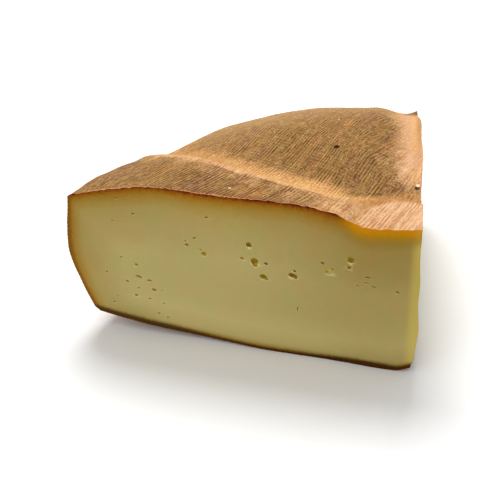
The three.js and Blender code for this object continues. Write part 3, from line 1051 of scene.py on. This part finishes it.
def paste_finish(name):
    """Moist yellow paste that turns amber under the rind, with the rind's dark edge round it."""
    finish = Finish(name)
    place = finish.place()
    amber = finish.attribute("amber_depth")
    above_base = finish.attribute("above_base")
    behind_rim = finish.attribute("behind_rim")
    from_point = finish.attribute("from_point")
    bright_rind = finish.attribute("bright_rind")
    in_hole = finish.attribute("in_hole")
    hole_lip = finish.attribute("hole_lip")
    height = finish.node("ShaderNodeSeparateXYZ", None, {0: place}, output="Z")
    clouds = finish.noise(place, 26.0, 2.0, 0.5)
    mottle = finish.noise(place, 3.0, 3.0, 0.55)
    torn = finish.noise(place, 1.3, 2.0, 0.6)
    grain = finish.noise(place, 0.7, 3.0, 0.6)
    blotches = finish.noise(place, 13.0, 3.0, 0.6)
    knife = finish.noise(finish.stretched(place, (0.05, 0.05, 1.0)), 1.2, 3.0, 0.6)
    ragged = amber + (mottle - 0.5) * (amber * 0.2 + 0.5) + (torn - 0.5) * 2.0
    depth = ragged + (clouds - 0.5) * amber * 0.5 + (1.0 - behind_rim.ease(8.0, 62.0)) * 0.65
    colour = finish.ramp(depth, 30.0, AMBER_TO_YELLOW)
    bright_edge = finish.ramp(depth, 12.0, BRIGHT_AMBER)
    at_edge = 1.0 - depth.ease(3.5, 9.0)
    colour = finish.mix(bright_rind * at_edge, colour, bright_edge)
    # Painted shade: the cut is darkened towards the point and upwards, as the light falls on it.
    shade_towards_point = (1.0 - from_point.ease(8.0, 85.0)) * (height.ease(2.0, 48.0) * 0.4 + 0.42)
    colour = finish.mix(shade_towards_point, colour, POINT_SHADE_TINT, "MULTIPLY")
    shaded = (1.0 - behind_rim.ease(15.0, 70.0)) * height.ease(12.0, 40.0)
    colour = finish.mix(shaded * 0.6, colour, SHADED_TINT, "MULTIPLY")
    colour = finish.mix(1.0, colour, finish.ramp(blotches, 1.0, BLOTCH_TINTS), "MULTIPLY")
    at_rim = 1.0 - (behind_rim + torn * 0.8 - 0.4).ease(0.8, 2.6)
    colour = finish.mix(at_rim * 0.7, colour, RIM_LINE_AMBER)
    fresh = (1.0 - from_point.ease(0.6, 4.4)) * (1.0 - bright_rind * at_edge * 0.7)
    colour = finish.mix(fresh * 0.5, colour, FRESH_YELLOW)
    # Painted light from below: the paste a little above the base is lightened towards pale yellow.
    pale = above_base.ease(0.8, 4.5) * (1.0 - above_base.ease(5.0, 20.0))
    pale *= (from_point.ease(10.0, 45.0) * 0.55 + 0.45) * behind_rim.ease(10.0, 42.0)
    colour = finish.mix(pale * 0.42, colour, LIGHT_FROM_BELOW_YELLOW)
    # Painted shade: a band halfway up the cut, away from the rim, is darkened slightly.
    mid_height_shade = above_base.ease(14.0, 28.0) * (1.0 - above_base.ease(42.0, 55.0))
    mid_height_shade *= behind_rim.ease(20.0, 50.0) * 0.75
    colour = finish.mix(mid_height_shade, colour, MID_HEIGHT_SHADE_TINT, "MULTIPLY")
    thin = from_point.ease(18.0, 44.0) * 1.3 + behind_rim.ease(28.0, 56.0) * 1.1 - 0.4
    thin += (1.0 - from_point.ease(2.0, 14.0)) * 0.8
    foot = 1.0 - (above_base + thin + torn * 0.8 - 2.5).ease(0.3, 2.5)
    foot_colour = finish.mix(from_point.ease(10.0, 90.0), *FOOT_BROWNS)
    colour = finish.mix(foot * 0.94, colour, foot_colour)
    colour = finish.mix(in_hole * 0.85, colour, HOLE_YELLOW)
    # Partly painted highlight: the lower lip of each hole is lightened to cream.
    colour = finish.mix(hole_lip * 0.8, colour, HOLE_LIP_CREAM_AND_HIGHLIGHT)
    return finish.close(
        ((mottle, 0.1), (knife, 0.04), (grain, 0.05)),
        {
            "Base Color": colour,
            "Roughness": 0.5 + mottle * 0.16,
            "Specular IOR Level": 0.05,
            "Subsurface Weight": 0.12,
            "Subsurface Radius": (3.0 * MM, 2.0 * MM, 0.9 * MM),
            "Subsurface Scale": 1.0,
        },
    )


# The cheese.

def corner_places(mesh):
    """Places of the mesh's corners in millimetres from the point, and their vertex numbers."""
    spots = np.empty(len(mesh.vertices) * 3, np.float32)
    mesh.vertices.foreach_get("co", spots)
    corners = np.empty(len(mesh.loops), np.int32)
    mesh.loops.foreach_get("vertex_index", corners)
    return spots.reshape(-1, 3).astype(np.float64), corners


def store(mesh, name, values, domain="POINT"):
    layer = mesh.attributes.new(name, "FLOAT", domain)
    layer.data.foreach_set("value", np.ascontiguousarray(values, dtype=np.float32))


def store_depths(mesh):
    """Keeps, for the finishes, how far each place is from the rind, the cuts and the point."""
    spots, corners = corner_places(mesh)
    x, y, z = spots.T
    radius = wheel_radius_at(x, y)
    top, base = top_height(x, y) + edge_relief(x, y), base_height(x, y)
    level = np.clip((z - base) / (top - base), 0.0, 1.0)
    beyond_side = x * SIDE_DIRECTION[1] - y * SIDE_DIRECTION[0]
    behind_rim = rim_radius(level) - radius
    depths = np.stack([top - z, AMBER_RIM_PACE * behind_rim, AMBER_BASE_PACE * (z - base)])
    nearest = np.exp(-np.clip(depths, -2.0, 60.0) / AMBER_BLEND).sum(axis=0)
    store(mesh, "amber_depth", -AMBER_BLEND * np.log(nearest))
    store(mesh, "above_base", z - base)
    store(mesh, "behind_rim", behind_rim)
    store(mesh, "from_point", np.hypot(x, y))
    store(mesh, "from_middle", radius)
    store(mesh, "from_horn", np.hypot(x - HORN_PLACE[0], y - HORN_PLACE[1]))
    store(mesh, "from_cut", np.minimum(np.abs(y), np.abs(beyond_side)))
    store_prints(mesh, x, y, beyond_side)
    store_holes(mesh, spots)
    store_ribs(mesh, spots, corners)


def store_prints(mesh, x, y, beyond_side):
    """Keeps where the rack's prints are, with the painted light in their faint shares, which of
    them are tan or pink, and the painted highlight along the crest.
    """
    right = across_cross_groove(x, y)
    behind = across_long_groove(x, y)
    store(mesh, "rack_print", rack_marks_and_light(x, y))
    store(mesh, "rubbed", crest_highlight_share(x, y))
    store(mesh, "rib_strength", rib_strength(x, y))
    tanned_front = np.clip(10.4 - 0.75 * right, 7.3, 14.5)
    tanned = smooth((behind + tanned_front + 2.5) / 3.5) * (1.0 - smooth((behind - 2.0) / 9.0))
    store(mesh, "tanned_print", 0.9 * tanned * smooth((right + 12.0) / 7.0))
    tan_stretch = np.maximum(smooth((y - 62.0) / 12.0), bell(y - 44.0, 7.0))
    tan_stripe = 0.85 * bell(np.abs(beyond_side) - 2.4, 2.2) * tan_stretch
    pink_right = smooth((right + 14.0) / 16.0) * (1.0 - tan_stripe)
    pink_front = 0.6 * smooth((-13.0 - behind) / 3.0)
    store(mesh, "pink_print", np.maximum(pink_right, pink_front))
    at_side = 0.75 * smooth((y - 12.0) / 40.0)
    store(mesh, "bright_rind", smooth((right + 14.0) / 9.0) * (1.0 - at_side))


def store_holes(mesh, spots):
    """Keeps how deep a place is in a hole, and where a pale lip lies below one, partly its own
    colour and partly a painted highlight.
    """
    in_hole, hole_lip = np.zeros(len(spots)), np.zeros(len(spots))
    waves = np.stack([*cut_waves(*spots.T), np.zeros(len(spots))], axis=-1)
    for place, size, turn, _ in cut_holes():
        offset = spots - np.array(place)
        beside = (offset[:, 0] * math.cos(turn) + offset[:, 1] * math.sin(turn)) * 2 / size[0]
        below = -offset[:, 2] * 2 / size[2]
        calm = offset - waves
        inward = calm[:, 1] * math.cos(turn) - calm[:, 0] * math.sin(turn)
        reach = np.hypot(beside, below)
        near = (reach < 1.2) & (inward < size[1])
        deep = near & (inward > 0.18)
        in_hole[deep] = np.clip(inward[deep] / (0.25 * size[0]), 0.1, 1.0)
        if size[0] < SMALL_HOLE:
            in_hole[deep] = 1.0
        on_lip = near & (np.abs(inward) <= 0.18)
        pale = min(1.0, size[2] / 2.0) * min(1.0, 0.4 + size[1] / size[0])
        hole_lip[on_lip] = pale * np.clip((below / np.maximum(reach, 0.01))[on_lip], 0.0, 1.0)
    hole_lip[in_hole > 0.0] = 0.0
    store(mesh, "in_hole", in_hole)
    store(mesh, "hole_lip", hole_lip)


def store_ribs(mesh, spots, corners):
    """Keeps the places across and along the ribs, with the rim's own on the rim wall."""
    x, y, z = spots.T
    turn = np.arctan2(y - WHEEL_CENTRE[1], x - WHEEL_CENTRE[0])
    on_wall = np.array(
        [face.material_index == 1 and abs(face.normal.z) < 0.7 for face in mesh.polygons]
    )
    counts = np.array([face.loop_total for face in mesh.polygons])
    wall_corner = np.repeat(on_wall, counts)
    across = np.where(wall_corner, rim_rib_phase(turn, z)[corners], top_rib_phase(x, y)[corners])
    along = np.where(wall_corner, (WHEEL_RADIUS * turn)[corners], rib_places(x, y)[1][corners])
    store(mesh, "across_ribs", across, "CORNER")
    store(mesh, "along_ribs", along, "CORNER")


SHARP_EDGE = 62.0


def cheese_piece():
    """The whole quarter as one closed mesh."""
    top_rind = rind_finish("ribbed_smoked_rind", RIB_PITCH, True)
    rim_rind = rind_finish("ribbed_rim_rind", RIM_RIB_PITCH, False)
    paste = paste_finish("yellow_cheese_paste")
    piece = solid("smoked_cheese", *block_mesh(top_block_place, TOP_BLOCK_STEPS), top_rind)
    cut(piece, solid("drum", *block_mesh(drum_place, DRUM_STEPS), rim_rind), "INTERSECT")
    cut(piece, solid("wedge", *block_mesh(wedge_place, WEDGE_STEPS), paste), "INTERSECT")
    for group in hole_pockets():
        cut(piece, pockets_solid(group, paste), "DIFFERENCE")
    cut(piece, pockets_solid(pit_pockets(), top_rind), "DIFFERENCE")
    mesh = piece.data
    store_depths(mesh)
    shift = Matrix.Translation((-PLAN_MIDDLE[0], -PLAN_MIDDLE[1], 0.0))
    mesh.transform(Matrix.Scale(MM, 4) @ shift)
    mesh.polygons.foreach_set("use_smooth", [True] * len(mesh.polygons))
    mesh.set_sharp_from_angle(angle=math.radians(SHARP_EDGE))
    mesh.name = "smoked_cheese"
    return piece


# Camera, floor and light.

def in_frame(place):
    """A place from the point of the quarter, in millimetres, moved into the CAD's frame."""
    return Vector((place[0] - PLAN_MIDDLE[0], place[1] - PLAN_MIDDLE[1], place[2])) * MM


def add_camera():
    data = bpy.data.cameras.new("photo_camera")
    data.sensor_width = CAMERA_SENSOR
    data.lens = CAMERA_LENS
    data.clip_end = 20.0
    camera = bpy.data.objects.new("photo_camera", data)
    turn, dip = math.radians(CAMERA_TURN), math.radians(CAMERA_DIP)
    ahead = Vector(
        (math.sin(turn) * math.cos(dip), math.cos(turn) * math.cos(dip), -math.sin(dip))
    )
    level_right = Vector((math.cos(turn), -math.sin(turn), 0.0))
    level_up = level_right.cross(ahead)
    roll = math.radians(CAMERA_ROLL)
    right = level_right * math.cos(roll) + level_up * math.sin(roll)
    up = right.cross(ahead)
    axes = Matrix((right, up, -ahead)).transposed()
    camera.matrix_world = Matrix.Translation(in_frame(CAMERA_PLACE)) @ axes.to_4x4()
    bpy.context.scene.collection.objects.link(camera)
    bpy.context.scene.camera = camera


def add_softbox(name, place, size, power):
    data = bpy.data.lights.new(name, "AREA")
    data.shape = "DISK"
    data.size = size
    data.energy = power
    lamp = bpy.data.objects.new(name, data)
    lamp.location = place
    lamp.rotation_mode = "QUATERNION"
    lamp.rotation_quaternion = (SOFTBOX_TARGET - Vector(place)).to_track_quat("-Z", "Y")
    bpy.context.scene.collection.objects.link(lamp)


def add_floor():
    finish = Finish("pale_floor")
    grain = finish.noise(finish.place(), 3.0)
    colour = finish.mix(grain * 0.2, tone(250, 250, 250), tone(243, 243, 243))
    material = finish.close(
        ((grain, 0.02),), {"Base Color": colour, "Roughness": 0.85, "Specular IOR Level": 0.2}
    )
    corners = np.array([(-1, -1, 0), (1, -1, 0), (1, 1, 0), (-1, 1, 0)]) * FLOOR_REACH
    floor = solid("floor", corners * MM, [(0, 1, 2, 3)], material)
    floor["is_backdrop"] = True


def add_daylight():
    world = bpy.data.worlds.new("studio_white")
    world.use_nodes = True
    backdrop = world.node_tree.nodes["Background"]
    backdrop.inputs["Color"].default_value = (1.0, 1.0, 1.0, 1.0)
    backdrop.inputs["Strength"].default_value = WORLD_STRENGTH
    bpy.context.scene.world = world


bpy.context.scene.view_settings.view_transform = "Standard"
add_camera()
add_floor()
add_daylight()
add_softbox("key_softbox", **KEY_SOFTBOX)
add_softbox("fill_softbox", **FILL_SOFTBOX)

cheese = cheese_piece()
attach(cheese, "root")
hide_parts(NODE)

VISUAL_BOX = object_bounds()
boxes = {"cad": CAD_BOX, "visual": VISUAL_BOX}
{name: [list(corner) for corner in box] for name, box in boxes.items()}
